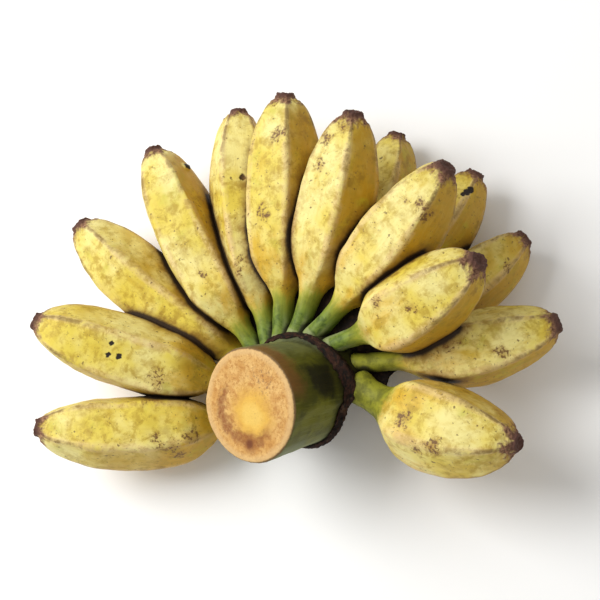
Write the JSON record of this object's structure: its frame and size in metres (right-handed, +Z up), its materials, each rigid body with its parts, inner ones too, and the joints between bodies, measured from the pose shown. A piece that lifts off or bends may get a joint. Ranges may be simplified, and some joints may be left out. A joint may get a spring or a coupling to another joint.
{
  "type": "hand of bananas",
  "caption": "Hand of short, thick, angular bananas fanned out round a cut piece of their stalk, lying on a table with the cut end up.",
  "frame": {"origin": "middle of the bounding box, on the table that the hand lies on", "axes": "+Z up from the table, +Y along the middle fruits, away from the stalk, +X along the right-hand fruits"},
  "size_m": [0.307, 0.223, 0.0992],
  "materials": {
    "peel": "satin",
    "stalk": "matte"
  },
  "bodies": {
    "root": {"stalk": "stalk", "banana_01": "peel", "banana_02": "peel", "banana_03": "peel", "banana_04": "peel", "banana_05": "peel", "banana_06": "peel", "banana_07": "peel", "banana_08": "peel", "banana_09": "peel", "banana_10": "peel", "banana_11": "peel", "banana_12": "peel", "banana_13": "peel", "banana_14": "peel"}
  },
  "joints": []
}
